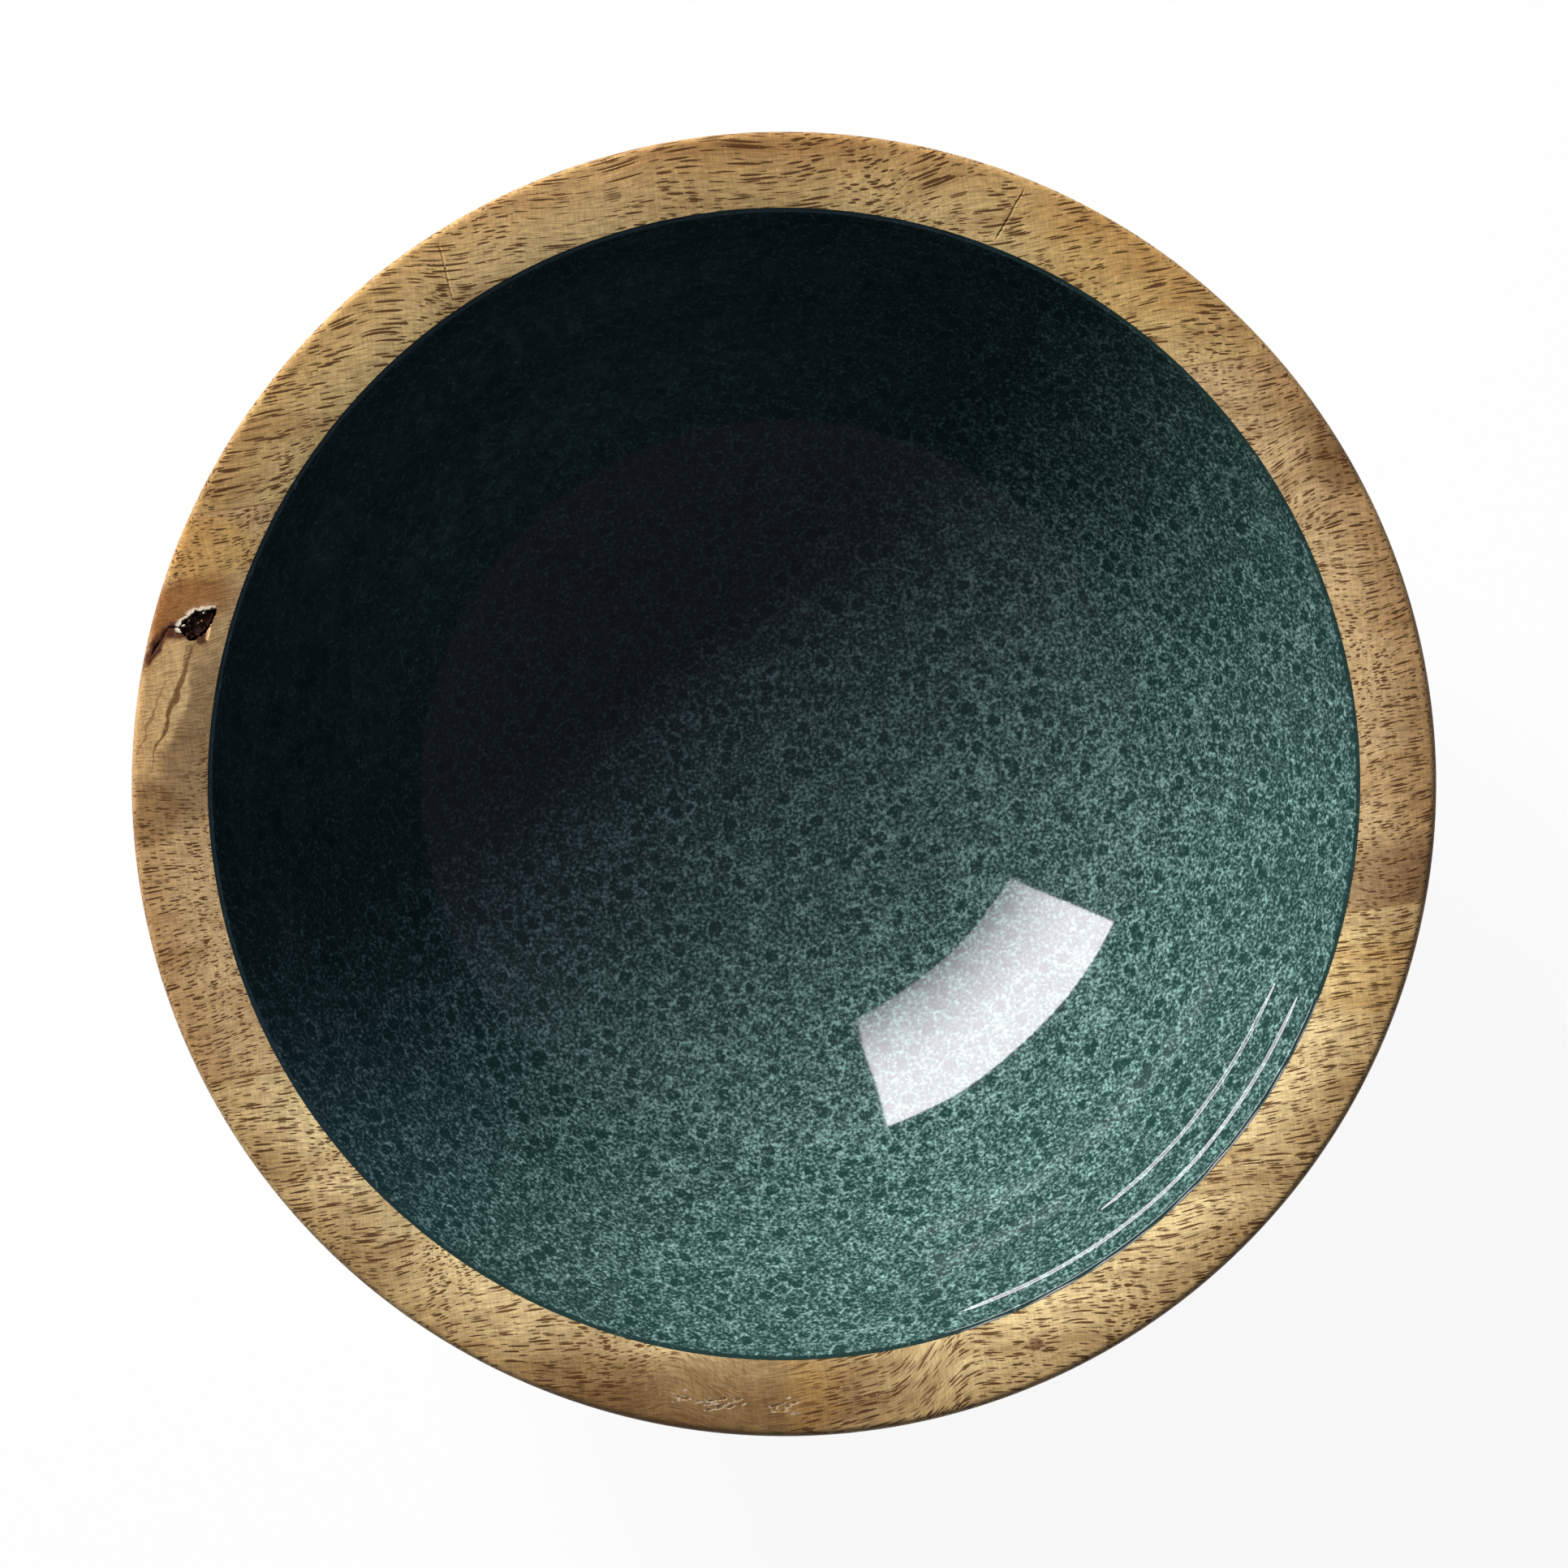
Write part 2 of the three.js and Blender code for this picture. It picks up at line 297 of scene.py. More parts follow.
class BowlColours(bpy.types.PropertyGroup):
    """Colours of the wood, glue, bark and enamel."""

    back_wood: colour("Back board", "Pale wood of the back board", "#c9ad78")
    middle_wood: colour("Middle board", "Pale wood of the middle board", "#c2a478")
    front_wood: colour("Front board", "Pale wood of the front board", "#d8c08d")
    deep_wood: colour("Deep wood", "Darker figure in the wood", "#9c7b50")
    # Painted shade: a darker tint over the rim towards its outer edge, where the crown falls away from the
    # light, and over the outside
    outer_shade: colour("Handled tint", "Tint of the wood where oil and hands have browned it", "#ddd0c4")
    vessel: colour("Vessels", "Open vessel lines", "#55381f")
    gold: colour("Gold", "Golden patches", "#c59c57")
    russet: colour("Russet", "Reddish patches", "#976739")
    umber: colour("Umber", "Dark brown patches", "#765735")
    ash: colour("Ash", "Grey brown patches", "#806748")
    sap: colour("Sap", "Pale wood of the knot", "#d2b482")
    maroon: colour("Maroon", "Dark red lines at the knot", "#4a2520")
    glue: colour("Glue", "Cured wood glue", "#6e4c2d")
    bark: colour("Bark", "Ingrown bark", "#3c2624")
    torn: colour("Torn edge", "Pale torn fibres", "#dccfba")
    # Painted shade: laid on by how deep the wood is sunk, darkest in the pocket, cracks and pits
    recess_shade: colour("Crevice", "Dirt in the cracks and pits", "#432b22")
    ground: colour("Ground coat", "Dark coat under the enamel", "#14181c")
    enamel: colour("Enamel", "Dark green of the enamel", "#1a322f")
    fleck: colour("Flecks", "Pale flecks in the enamel", "#7a9a94")
    # Painted shade: a darker blue tint laid on the enamel's side away from the light
    blue_shade: colour("Drained tint", "Tint of the enamel on the side that it drained from", "#dcd9ff")


def ramp(value, start, end):
    """A smooth step: 0 at the start, 1 at the end."""
    share = min(max((value - start) / (end - start), 0), 1)
    return share * share * (3 - 2 * share)


def hollow_radius(sizes):
    """Radius of the bare hollow at the rim."""
    return sizes.rim_diameter / 2 - sizes.rim_width


def crown_centre(sizes):
    """Radius and height of the middle of the rim's crown."""
    return Vector((hollow_radius(sizes) + sizes.crown_reach, sizes.height - sizes.crown_radius))


def rim_height(sizes, radius):
    """Height of the crowned rim at a distance from the axis."""
    centre = crown_centre(sizes)
    return centre.y + math.sqrt(sizes.crown_radius**2 - (radius - centre.x) ** 2)


def lip_height(sizes):
    """Height of the rim where it meets the lining."""
    return rim_height(sizes, hollow_radius(sizes))


def hollow_slope(sizes, share):
    """Rise over run of the bare hollow, at a share of its radius."""
    depth = lip_height(sizes) - sizes.floor_thickness
    return HOLLOW_POWER * depth / hollow_radius(sizes) * share ** (HOLLOW_POWER - 1)


def hollow_point(sizes, share, thickness):
    """Radius and height on the hollow, moved in from the bare wood by a thickness."""
    depth = lip_height(sizes) - sizes.floor_thickness
    slope = hollow_slope(sizes, share)
    slant = math.hypot(1, slope)
    radius = hollow_radius(sizes) * share - thickness * slope / slant
    height = sizes.floor_thickness + depth * share**HOLLOW_POWER + thickness / slant
    return Vector((radius, height))


def coat_point(sizes, share, thickness):
    """Radius and height on the face of a coat, which thins out towards the rim."""
    return hollow_point(sizes, share, thickness * (1 - LIP_THINNING * ramp(share, THIN_START, 1)))


def even_shares(last, steps):
    """Shares from the axis to a last one, closer together towards the rim."""
    return [last * (step / steps) ** RIM_CROWDING for step in range(steps + 1)]


def coat_back(sizes):
    """The back of the enamel, which is also the face of the ground coat, from the axis to the lip."""
    shares = even_shares(LIP_START, BARE_STEPS)
    return [coat_point(sizes, share, sizes.enamel_start) for share in shares]


def run_shares(sizes):
    """Close shares across each run line."""
    shares = []
    for line in RUN_LINES:
        steps = round(3 * line.fall / RUN_FINENESS)
        for step in range(steps + 1):
            radius = line.radius - line.fall + step * RUN_FINENESS
            shares.append((radius * MM + sizes.enamel_thickness) / hollow_radius(sizes))
    return shares


def arc(centre, radius, start, end, steps):
    """Points of a circle from one angle to another, without the first."""
    angles = [start + (end - start) * step / steps for step in range(1, steps + 1)]
    return [centre + radius * climb(angle) for angle in angles]


def climb(angle):
    """A unit step that climbs at an angle."""
    return Vector((math.cos(angle), math.sin(angle)))


def round_centre(sizes):
    """Radius and height of the middle of the round on the rim's outside edge."""
    centre = crown_centre(sizes)
    out = sizes.rim_diameter / 2 - sizes.rim_round - centre.x
    up = math.sqrt((sizes.crown_radius - sizes.rim_round) ** 2 - out**2)
    return centre + Vector((out, up))


def outside_curve(sizes):
    """The outside from the foot ring up to the rim's round."""
    foot = Vector((sizes.base_diameter / 2, 0))
    shoulder = round_centre(sizes) + sizes.rim_round * climb(WALL_ANGLE - math.pi / 2)
    chord = (shoulder - foot).length
    foot_handle = foot + FOOT_SWEEP * chord * climb(FOOT_ANGLE)
    wall_handle = shoulder - WALL_SWEEP * chord * climb(WALL_ANGLE)
    return geometry.interpolate_bezier(foot, foot_handle, wall_handle, shoulder, WALL_STEPS)


def rim_curve(sizes):
    """The rim from the outside over its round and its crown, to the edge of the hollow."""
    crown = crown_centre(sizes)
    middle = round_centre(sizes)
    join = math.atan2(middle.y - crown.y, middle.x - crown.x)
    lip = math.acos(-sizes.crown_reach / sizes.crown_radius)
    return [
        *arc(middle, sizes.rim_round, WALL_ANGLE - math.pi / 2, 0, ROUND_STEPS),
        *arc(middle, sizes.rim_round, 0, join, ROUND_STEPS),
        *arc(crown, sizes.crown_radius, join, math.pi / 2, ROUND_STEPS),
        *arc(crown, sizes.crown_radius, math.pi / 2, lip, CROWN_STEPS),
    ]


def body_curve(sizes):
    """The whole turned body, from the recess under the base round to the middle of the hollow."""
    recess = sizes.recess_diameter / 2
    hollow = [hollow_point(sizes, share, 0) for share in even_shares(1, BARE_STEPS)]
    return [
        Vector((0, sizes.recess_depth)),
        Vector((recess - sizes.recess_depth, sizes.recess_depth)),
        Vector((recess, 0)),
        *outside_curve(sizes),
        *rim_curve(sizes),
        *hollow[-2::-1],
    ]


def spun(points):
    """A closed mesh of a profile, spun once round the bowl's axis."""
    bm = bmesh.new()
    verts = [bm.verts.new((point.x, 0, point.y)) for point in points]
    edges = [bm.edges.new(pair) for pair in zip(verts, verts[1:])]
    bmesh.ops.spin(
        bm,
        geom=verts + edges,
        cent=(0, 0, 0),
        axis=(0, 0, 1),
        angle=math.tau,
        steps=TURN_STEPS,
        use_merge=True,
    )
    bmesh.ops.remove_doubles(bm, verts=bm.verts, dist=WELD)
    bmesh.ops.recalc_face_normals(bm, faces=bm.faces)
    return bm


def keep_side(bm, y, direction):
    """Cuts a solid on a plane of constant Y, keeps the side that the direction points to, and closes it."""
    cut = bmesh.ops.bisect_plane(
        bm,
        geom=bm.verts[:] + bm.edges[:] + bm.faces[:],
        dist=WELD,
        plane_co=(0, y, 0),
        plane_no=(0, -direction, 0),
        clear_outer=True,
    )
    edges = [item for item in cut["geom_cut"] if isinstance(item, bmesh.types.BMEdge)]
    bmesh.ops.triangle_fill(bm, edges=edges, use_beauty=True, normal=(0, -direction, 0))
    bmesh.ops.recalc_face_normals(bm, faces=bm.faces)


def make_piece(bm, name, node, material):
    """Turns a mesh into the piece that stands for one CAD node."""
    mesh = bpy.data.meshes.new(name)
    for face in bm.faces:
        face.smooth = True
    bm.to_mesh(mesh)
    bm.free()
    mesh.set_sharp_from_angle(angle=SHARP_ANGLE)
    mesh.materials.append(material)
    piece = bpy.data.objects.new(name, mesh)
    bpy.context.scene.collection.objects.link(piece)
    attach(piece, "root")
    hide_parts(node)
    return piece


def on_top(sizes, point):
    """Whether a point lies on the top of the rim."""
    radius = math.hypot(point.x, point.y)
    inside = hollow_radius(sizes) - WELD
    outside = sizes.rim_diameter / 2 - sizes.rim_round
    return inside < radius < outside and point.z > lip_height(sizes) - WELD


def carve(bm, sizes, distance, fineness, depth):
    """Refines the rim's top near a flaw and sinks it; distance and depth are functions of a point."""
    rough = True
    while rough:
        rough = []
        for edge in bm.edges:
            size = edge.calc_length()
            middle = (edge.verts[0].co + edge.verts[1].co) / 2
            if size > fineness and on_top(sizes, middle) and distance(middle) < size / 2:
                rough.append(edge)
        if rough:
            bmesh.ops.subdivide_edges(bm, edges=rough, cuts=1, use_grid_fill=True)
    # The depth kept here drives the painted shade in the wood's material
    sunk = bm.verts.layers.float.get("sunk") or bm.verts.layers.float.new("sunk")
    torn = bm.verts.layers.float.get("torn") or bm.verts.layers.float.new("torn")
    for vert in bm.verts:
        if on_top(sizes, vert.co) and distance(vert.co) < FLAW_REACH * MM:
            fall, pale = depth(vert.co)
            vert[sunk] = max(vert[sunk], min(fall / MM, 1))
            vert[torn] = max(vert[torn], pale)
            vert.co.z = min(vert.co.z - fall, sizes.height)


def carve_check(bm, sizes, check):
    """A hairline crack across the rim, deepest in its middle."""
    start = Vector((check.x0, check.y0)) * MM
    end = Vector((check.x1, check.y1)) * MM
    axis = (end - start).normalized()

    def across(point):
        stray = CHECK_STRAY * MM * noise.noise(point / (CHECK_WAVE * MM))
        return abs((point.xy - start).cross(axis) + stray)

    def distance(point):
        along = (point.xy - start).dot(axis)
        beyond = max(-along, along - (end - start).length, 0)
        return math.hypot(max(across(point) - (check.width + 0.1) * MM, 0), beyond)

    def depth(point):
        along = (point.xy - start).dot(axis) / (end - start).length
        ends = ramp(along, 0, 0.15) * ramp(along, 1, 0.85)
        return check.depth * MM * ends * ramp(across(point), check.width * MM, 0.03 * MM), 0

    carve(bm, sizes, distance, FLAW_FINENESS / 2 * MM, depth)


def carve_pits(bm, sizes, pits):
    """A cluster of small torn pits with pale edges."""
    middle = Vector((pits.x, pits.y)) * MM

    def inside(point):
        local = (point.xy - middle) / MM
        return math.hypot(local.x / pits.along, local.y / pits.across)

    def distance(point):
        return (inside(point) - 1) * pits.across * MM

    def depth(point):
        along, across = PIT_GRAIN
        grain = noise.noise(Vector((point.x / (along * MM), point.y / (across * MM), 7)))
        edge = grain - 0.55 * max(inside(point) - 0.5, 0)
        pale = 0.6 * ramp(edge, 0.02, 0.12) * ramp(edge, 0.28, 0.18)
        return PIT_DEPTH * MM * ramp(edge, 0.2, 0.4), pale

    carve(bm, sizes, distance, FLAW_FINENESS * MM, depth)


def pocket_place(sizes, point):
    """Where a point lies along and across the bark pocket."""
    place = Matrix.Rotation(-POCKET_TURN, 2) @ (point.xy - Vector((sizes.pocket_x, sizes.pocket_y)))
    return place.x, place.y


def lens_width(sizes, along):
    """Half the width of the lens-shaped pocket at a place along it."""
    share = min(abs(2 * along / sizes.pocket_length), 1)
    return sizes.pocket_width / 2 * (1 - share**2)


def carve_pocket(bm, sizes):
    """The ragged pocket that the bark lies in, with pale torn fibres along its back side."""

    def gap(point):
        along, across = pocket_place(sizes, point)
        ragged = sum(reach * MM * noise.noise(point / (size * MM)) for reach, size in POCKET_RAGS)
        beyond = max(along - sizes.pocket_length / 2, -sizes.bark_reach - along, 0)
        return math.hypot(max(abs(across) - lens_width(sizes, along), 0), beyond) + ragged, across

    def distance(point):
        return gap(point)[0] - 1.1 * MM

    def depth(point):
        far, across = gap(point)
        fall = sizes.pocket_depth * ramp(far, 0.18 * MM, -0.05 * MM)
        fray = noise.noise(point / (0.9 * MM)) + 0.6 * ramp(across, 0, 1.2 * MM)
        pale = ramp(fray, 0.15, 0.4) * ramp(far, 1.4 * MM, 0.5 * MM) * ramp(across, -0.2 * MM, 0.8 * MM)
        return fall - sizes.torn_height * pale * (1 - ramp(far, 0.3 * MM, 0)), pale

    carve(bm, sizes, distance, FLAW_FINENESS * MM, depth)


def add(tree, kind, inputs=(), **settings):
    """Adds a node with its settings, links or sets its inputs, and gives its first output in use."""
    node = tree.nodes.new(kind)
    for name, value in settings.items():
        setattr(node, name, value)
    for key, value in dict(inputs).items():
        if isinstance(key, int):
            socket = node.inputs[key]
        else:
            socket = next(s for s in node.inputs if s.enabled and s.name == key)
        if isinstance(value, bpy.types.NodeSocket):
            tree.links.new(value, socket)
        else:
            socket.default_value = value
    return next((s for s in node.outputs if s.enabled), None)


def opaque(rgb):
    """A colour with full alpha, as a colour socket wants it."""
    return (*rgb, 1)


def per(millimetres):
    """The texture scale that gives a feature of this size."""
    return 1 / (millimetres * MM)


def new_material(name):
    """An empty node material, and its tree."""
    material = bpy.data.materials.new(name)
    material.use_nodes = True
    material.node_tree.nodes.clear()
    return material, material.node_tree


def blend(tree, amount, first, second, how="MIX"):
    """One colour laid over another by an amount."""
    return add(
        tree,
        "ShaderNodeMix",
        {"Factor": amount, "A": first, "B": second},
        data_type="RGBA",
        blend_type=how,
    )


def surface(tree, tone, relief, strength, depth, looks):
    """Ends a material: its tone, a bump from a relief with its strength and depth in mm, and other looks."""
    bump = add(tree, "ShaderNodeBump", {"Strength": strength, "Distance": depth * MM, "Height": relief})
    shader = add(tree, "ShaderNodeBsdfPrincipled", {"Base Color": tone, "Normal": bump, **looks})
    add(tree, "ShaderNodeOutputMaterial", {"Surface": shader})


def ranged(tree, value, start, end, low=0, high=1):
    """A value's range taken smoothly to another range."""
    return add(
        tree,
        "ShaderNodeMapRange",
        {"Value": value, "From Min": start, "From Max": end, "To Min": low, "To Max": high},
        interpolation_type="SMOOTHSTEP",
    )


def soft_noise(tree, vector, size, detail):
    """Soft noise with features of a size in mm, or of one size along each axis."""
    if isinstance(size, tuple):
        scale = tuple(per(s) for s in size)
        vector = add(tree, "ShaderNodeMapping", {"Vector": vector, "Scale": scale})
        return add(tree, "ShaderNodeTexNoise", {"Vector": vector, "Scale": 1, "Detail": detail})
    return add(tree, "ShaderNodeTexNoise", {"Vector": vector, "Scale": per(size), "Detail": detail})


def nearness(tree, vector, oval):
    """How near a point lies to a patch, calm or bend: 1 in the middle of its ellipse, 0 outside it."""
    local = add(
        tree,
        "ShaderNodeMapping",
        {
            "Vector": vector,
            "Location": (oval.x * MM, oval.y * MM, CAD_HIGH.z),
            "Rotation": (0, 0, math.radians(oval.turn)),
            "Scale": (oval.along * MM, oval.across * MM, 3 * oval.along * MM),
        },
        vector_type="TEXTURE",
    )
    far = add(tree, "ShaderNodeVectorMath", {0: local}, operation="LENGTH")
    return ranged(tree, far, 1 + oval.soft / 2, 1 - oval.soft / 2)


def shifted(tree, vector, size, reach):
    """A vector moved about by soft noise of a size, up to a reach along each axis, in mm."""
    drift = soft_noise(tree, vector, size, 1.5).node.outputs["Color"]
    full = tuple(2 * r * MM for r in reach)
    half = tuple(-r * MM for r in reach)
    move = add(tree, "ShaderNodeVectorMath", {0: drift, 1: full, 2: half}, operation="MULTIPLY_ADD")
    return add(tree, "ShaderNodeVectorMath", {0: vector, 1: move}, operation="ADD")


def grain_vector(tree, place, bends):
    """Where a point lies in the straight-grained board: the wander and the bends of its fibres taken out."""
    vector = shifted(tree, place, WANDER_SIZE, WANDER_REACH)
    for bend in bends:
        near = nearness(tree, place, bend)
        push = (0, bend.push * MM, 0)
        move = add(tree, "ShaderNodeVectorMath", {0: near, 1: push}, operation="MULTIPLY")
        vector = add(tree, "ShaderNodeVectorMath", {0: vector, 1: move}, operation="ADD")
    return vector


def vessel_lines(tree, place, grain, vessels):
    """Open vessels cut along their length: dark dashes with frayed ends, one in each stretched cell."""
    cell = (per(vessels.length), per(vessels.width), per(vessels.width))
    cells = add(tree, "ShaderNodeMapping", {"Vector": grain, "Scale": cell})
    voronoi = add(tree, "ShaderNodeTexVoronoi", {"Vector": cells, "Scale": 1}).node
    fray = soft_noise(tree, place, FRAY_SIZE, 2)
    edge = add(
        tree,
        "ShaderNodeMath",
        {0: fray, 1: 0.24, 2: voronoi.outputs["Distance"]},
        operation="MULTIPLY_ADD",
    )
    dash = ranged(tree, edge, vessels.size + 0.17, vessels.size + 0.07)
    chance = add(tree, "ShaderNodeSeparateColor", {"Color": voronoi.outputs["Color"]})
    weight = ranged(tree, chance, 1 - vessels.kept, 1.08 - vessels.kept, 0, vessels.strength)
    return add(tree, "ShaderNodeMath", {0: dash, 1: weight}, operation="MULTIPLY")


def plan_radius(tree, place):
    """Distance of a point from the bowl's axis."""
    plan = add(tree, "ShaderNodeMapping", {"Vector": place, "Scale": (1, 1, 0)})
    return add(tree, "ShaderNodeVectorMath", {0: plan}, operation="LENGTH")


def outer_shade_share(tree, place):
    """How much darker tint is painted on the wood: none at the lining, full at the rim's outer edge and on
    the outside; painted shade where the crown falls away from the light.
    """
    rim = ranged(tree, plan_radius(tree, place), OUTER_SHADE_START * MM, OUTER_SHADE_FULL * MM)
    level = add(tree, "ShaderNodeSeparateXYZ", {"Vector": place}).node.outputs["Z"]
    outside = ranged(tree, level, OUTER_SHADE_TOP * MM, OUTER_SHADE_BELOW * MM)
    return add(tree, "ShaderNodeMath", {0: rim, 1: outside}, operation="MAXIMUM")


def mango_wood(name, colours, board):
    """Oiled and sanded mango wood: satin, golden to brown figure, open vessels that read as dark dashes."""
    material, tree = new_material(name)
    place = add(tree, "ShaderNodeTexCoord").node.outputs["Object"]
    grain = grain_vector(tree, place, board.bends)

    figure = soft_noise(tree, grain, FIGURE_SIZE, 3)
    deep = ranged(tree, figure, 0.42, 0.75, 0, 0.75)
    tone = blend(tree, deep, opaque(getattr(colours, board.tone)), opaque(colours.deep_wood))

    smeared = shifted(tree, shifted(tree, place, 5, (1.6, 1.6, 1.6)), 1.2, (0.5, 0.5, 0.5))
    for patch in board.patches:
        near = nearness(tree, smeared, patch)
        amount = add(tree, "ShaderNodeMath", {0: near, 1: patch.strength}, operation="MULTIPLY")
        tone = blend(tree, amount, tone, opaque(getattr(colours, patch.tone)))

    fibre = soft_noise(tree, grain, FIBRE_SIZE, 3)
    tone = blend(tree, 1, tone, ranged(tree, fibre, 0.25, 0.75, 0.72, 1.24), "MULTIPLY")
    ray = soft_noise(tree, grain, RAY_SIZE, 2)
    tone = blend(tree, 1, tone, ranged(tree, ray, 0.3, 0.75, 0.88, 1.16), "MULTIPLY")

    bold = vessel_lines(tree, place, grain, board.bold)
    fine = vessel_lines(tree, place, grain, board.fine)
    lines = add(tree, "ShaderNodeMath", {0: bold, 1: fine}, operation="MAXIMUM")
    for calm in board.calms:
        near = nearness(tree, smeared, calm)
        left = ranged(tree, near, 0, 1, 1, 0.3)
        lines = add(tree, "ShaderNodeMath", {0: lines, 1: left}, operation="MULTIPLY")
    tone = blend(tree, lines, tone, opaque(colours.vessel))
    # Painted shade towards the rim's outer edge, and the same darker tint on the outside
    tone = blend(tree, outer_shade_share(tree, place), tone, opaque(colours.outer_shade), "MULTIPLY")

    # Painted shade: the deeper the wood is sunk at a flaw, the darker it is painted
    sunk = add(tree, "ShaderNodeAttribute", attribute_name="sunk").node.outputs["Fac"]
    tone = blend(tree, ranged(tree, sunk, 0.05, 0.5), tone, opaque(colours.recess_shade))
    torn = add(tree, "ShaderNodeAttribute", attribute_name="torn").node.outputs["Fac"]
    tone = blend(tree, torn, tone, opaque(colours.torn))

    rough = ranged(tree, fibre, 0.2, 0.8, 0.45, 0.62)
    height = add(tree, "ShaderNodeMath", {0: lines, 1: -1.5, 2: fibre}, operation="MULTIPLY_ADD")
    surface(tree, tone, height, 0.25, 0.15, {"Roughness": rough, "Specular IOR Level": 0.3})
    return material


def cured_glue(colours):
    """Cured wood glue squeezed out to a hairline: a dull brown film."""
    material, tree = new_material("cured_wood_glue")
    place = add(tree, "ShaderNodeTexCoord").node.outputs["Object"]
    patch = soft_noise(tree, place, 3, 3)
    tone = blend(tree, patch, opaque(colours.glue), opaque(colours.deep_wood))
    surface(tree, tone, patch, 0.2, 0.1, {"Roughness": 0.6})
    return material


def ingrown_bark(colours):
    """Bark that the tree has grown round: dull, dark red brown, crumbly, with pale torn flecks."""
    material, tree = new_material("ingrown_bark")
    place = add(tree, "ShaderNodeTexCoord").node.outputs["Object"]
    crumb = soft_noise(tree, place, 0.9, 5)
    fleck = ranged(tree, crumb, 0.6, 0.72)
    tone = blend(tree, fleck, opaque(colours.bark), opaque(colours.torn))
    surface(tree, tone, crumb, 0.8, 0.4, {"Roughness": 0.9})
    return material


def brushed_ground(colours):
    """Near-black ground coat, brushed thin on the bare wood: a dull dark line at the lip."""
    material, tree = new_material("brushed_ground_coat")
    place = add(tree, "ShaderNodeTexCoord").node.outputs["Object"]
    streak = soft_noise(tree, place, 1.2, 3)
    tone = blend(tree, streak, opaque(colours.ground), opaque(colours.enamel))
    surface(tree, tone, streak, 0.4, 0.1, {"Roughness": 0.5})
    return material


def speckled_enamel(colours):
    """Poured gloss enamel: a mirror-smooth skin over dark green, pale flecks crowding round dark drops."""
    material, tree = new_material("poured_speckled_enamel")
    place = add(tree, "ShaderNodeTexCoord").node.outputs["Object"]
    loose = shifted(tree, place, 1.2, (0.7, 0.7, 0.7))
    cells = add(tree, "ShaderNodeTexVoronoi", {"Vector": loose, "Scale": per(DROP_SPACING)}).node
    drops = cells.outputs["Distance"]
    core = ranged(tree, drops, 0.22, 0.42, -0.15, 0.03)
    ring = ranged(tree, drops, 0.44, 0.6, 0.05, -0.03)
    crowd = add(tree, "ShaderNodeMath", {0: core, 1: ring}, operation="ADD")
    grain = add(
        tree,
        "ShaderNodeTexNoise",
        {"Vector": place, "Scale": per(FLECK_SIZE), "Detail": 1.5, "Roughness": 0.6, "Distortion": 0.3},
    )
    cloud = soft_noise(tree, place, CLOUD_SIZE, 1)
    level = add(tree, "ShaderNodeMath", {0: cloud, 1: 0.15, 2: grain}, operation="MULTIPLY_ADD")
    turned = add(tree, "ShaderNodeMapping", {"Vector": place, "Rotation": (0, 0, -LIT_BEARING)})
    toward_light = add(tree, "ShaderNodeSeparateXYZ", {"Vector": turned})
    # Painted shade: fewer flecks on the side away from the light
    fleck_shade = ranged(tree, toward_light, SHADED_FLECKS * MM, LIT_FLECKS * MM, -0.06, 0.005)
    radius = plan_radius(tree, place)
    # Fewer flecks towards the rim: partly the enamel's own pattern, partly painted shade on the steep walls
    thin = ranged(tree, radius, FLECKS_FULL * MM, FLECKS_FEW * MM, 0, -0.04)
    lip = ranged(tree, radius, LIP_PALE * MM, LIP_DARK * MM, 0, -0.2)
    for more in (crowd, fleck_shade, thin, lip):
        level = add(tree, "ShaderNodeMath", {0: level, 1: more}, operation="ADD")
    share = add(tree, "ShaderNodeMapRange", {"Value": level, "From Min": 0.41, "From Max": 0.8})
    fleck = add(tree, "ShaderNodeMath", {0: share, 1: 2}, operation="POWER")
    tone = blend(tree, fleck, opaque(colours.enamel), opaque(colours.fleck))
    # Painted shade: darker and bluer on the side away from the light
    blue_shade = ranged(tree, toward_light, BLUE_SHADE_START * MM, BLUE_SHADE_FULL * MM)
    tone = blend(tree, blue_shade, tone, opaque(colours.blue_shade), "MULTIPLY")
    ripple = soft_noise(tree, place, RIPPLE_SIZE, 1)
    gloss = {"Roughness": 0.04, "IOR": 1.55, "Specular IOR Level": 0.22}
    surface(tree, tone, ripple, 0.12, 0.3, gloss)
    return material


class BOWL_OT_boards(bpy.types.Operator):
    """Make the three turned boards"""

    bl_idname = "bowl.boards"
    bl_label = "Boards"

    def execute(self, context):
        sizes = context.scene.bowl_sizes
        colours = context.scene.bowl_colours
        half_glue = sizes.glue_thickness / 2
        middle = spun(body_curve(sizes))
        back = middle.copy()
        front = middle.copy()

        keep_side(back, sizes.rear_joint + half_glue, 1)
        for check in BACK_CHECKS:
            carve_check(back, sizes, check)
        wood = mango_wood("oiled_mango_back", colours, BACK_BOARD)
        make_piece(back, "board_back", "back_board", wood)

        keep_side(middle, sizes.rear_joint - half_glue, -1)
        keep_side(middle, sizes.front_joint + half_glue, 1)
        for check in MIDDLE_CHECKS:
            carve_check(middle, sizes, check)
        carve_pocket(middle, sizes)
        wood = mango_wood("oiled_mango_middle", colours, MIDDLE_BOARD)
        make_piece(middle, "board_middle", "middle_board", wood)

        keep_side(front, sizes.front_joint - half_glue, -1)
        for pits in PITS:
            carve_pits(front, sizes, pits)
        wood = mango_wood("oiled_mango_front", colours, FRONT_BOARD)
        make_piece(front, "board_front", "front_board", wood)
        return {"FINISHED"}


